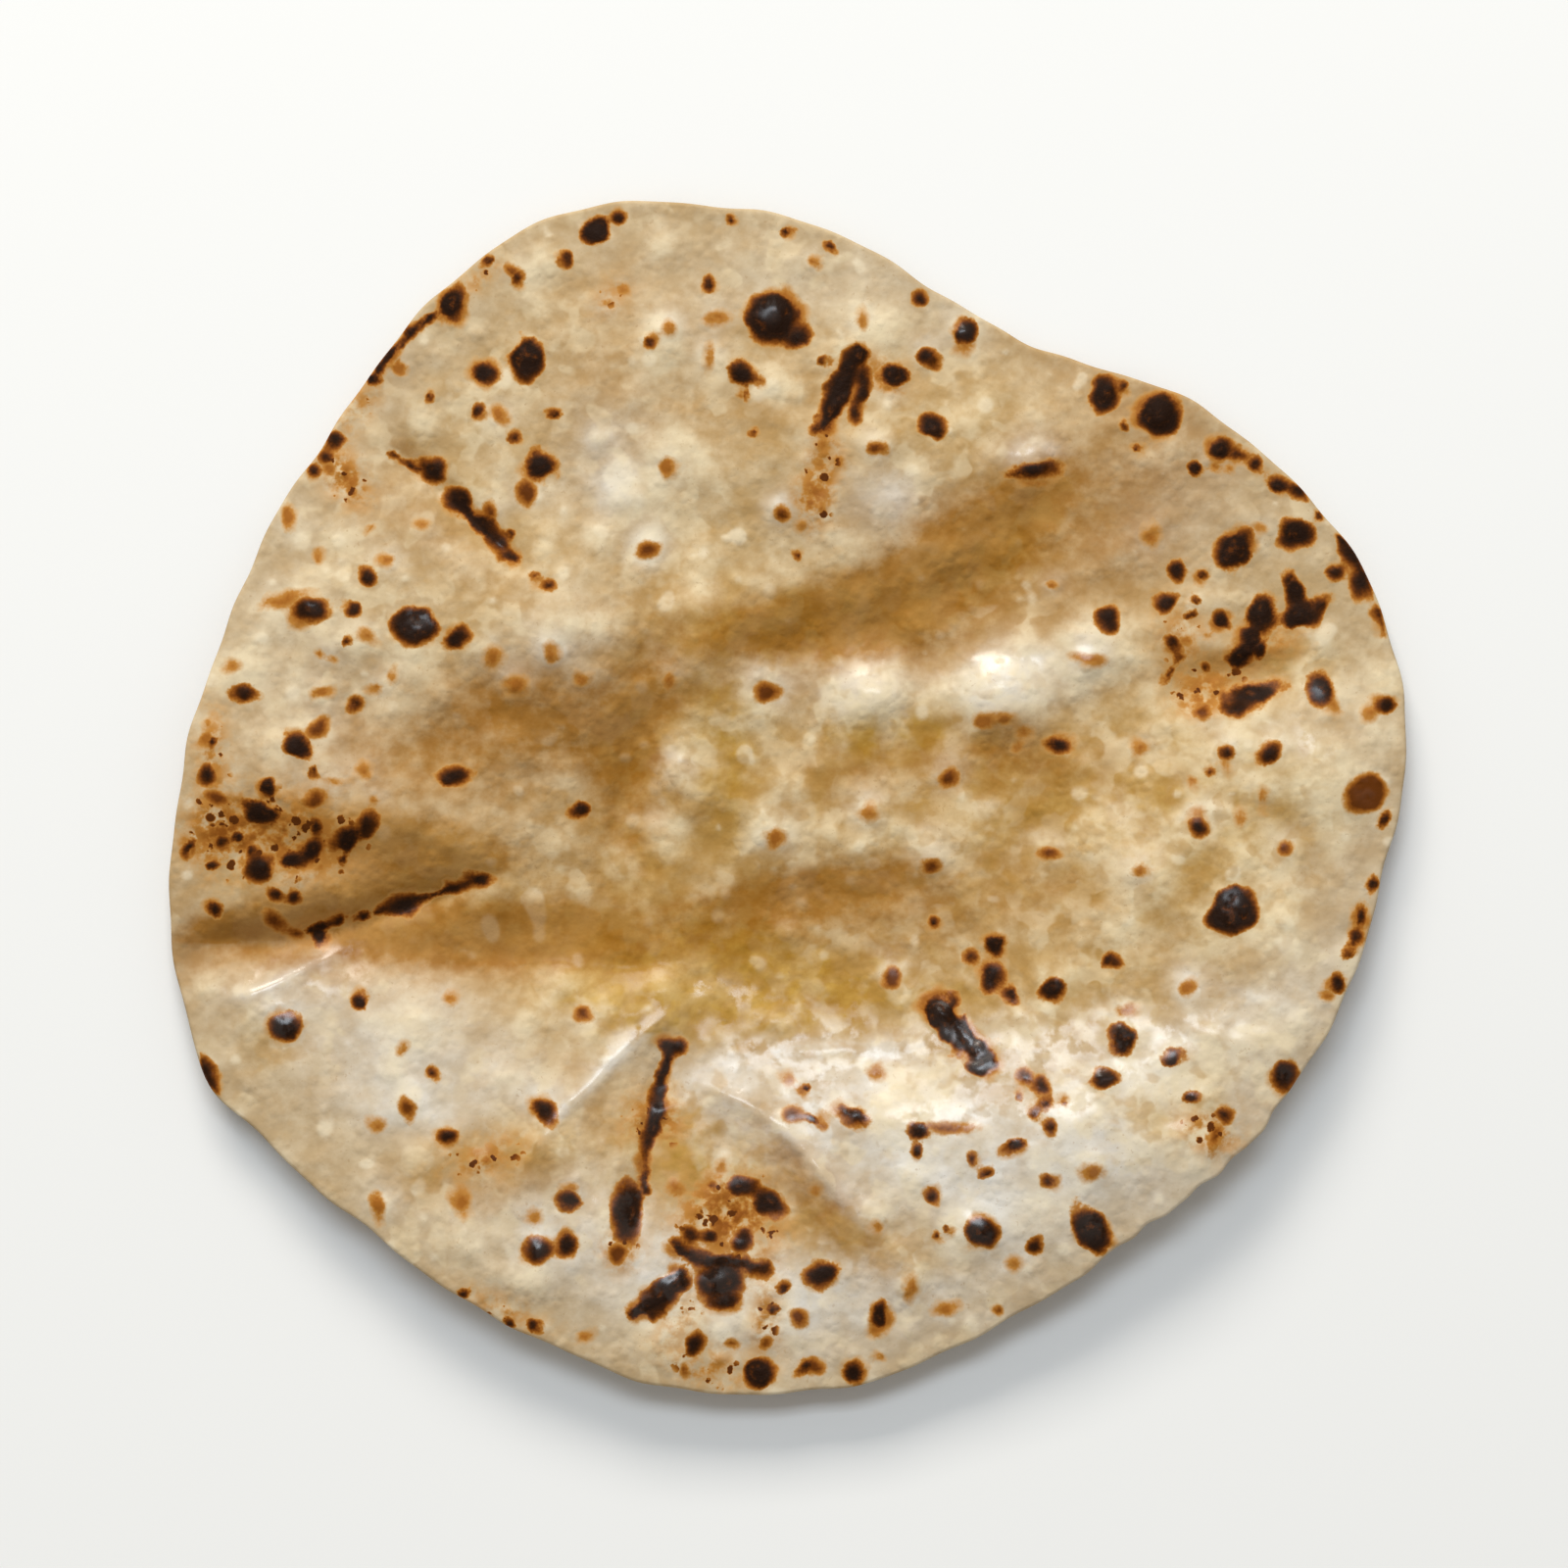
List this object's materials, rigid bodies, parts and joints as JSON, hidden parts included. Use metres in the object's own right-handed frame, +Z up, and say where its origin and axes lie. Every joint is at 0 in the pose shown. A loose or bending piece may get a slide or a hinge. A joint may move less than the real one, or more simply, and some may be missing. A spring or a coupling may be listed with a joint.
{
  "type": "chapati flatbread",
  "caption": "Thin round of griddled unleavened dough, gently buckled, with scorched blisters; lies on a plate and is torn or rolled to eat.",
  "frame": {"origin": "on the table, under the middle of the bread's bounding box", "axes": "+Z up, through the thin way of the bread, browned and greased side up; +X along its longest extent; +Y away from the diner"},
  "size_m": [0.1882, 0.1818, 0.0121],
  "materials": {
    "griddled_dough": "pale floury dough, toasted and scorched in spots, lightly greased"
  },
  "bodies": {
    "root": {"chapati": "griddled_dough"}
  },
  "joints": []
}
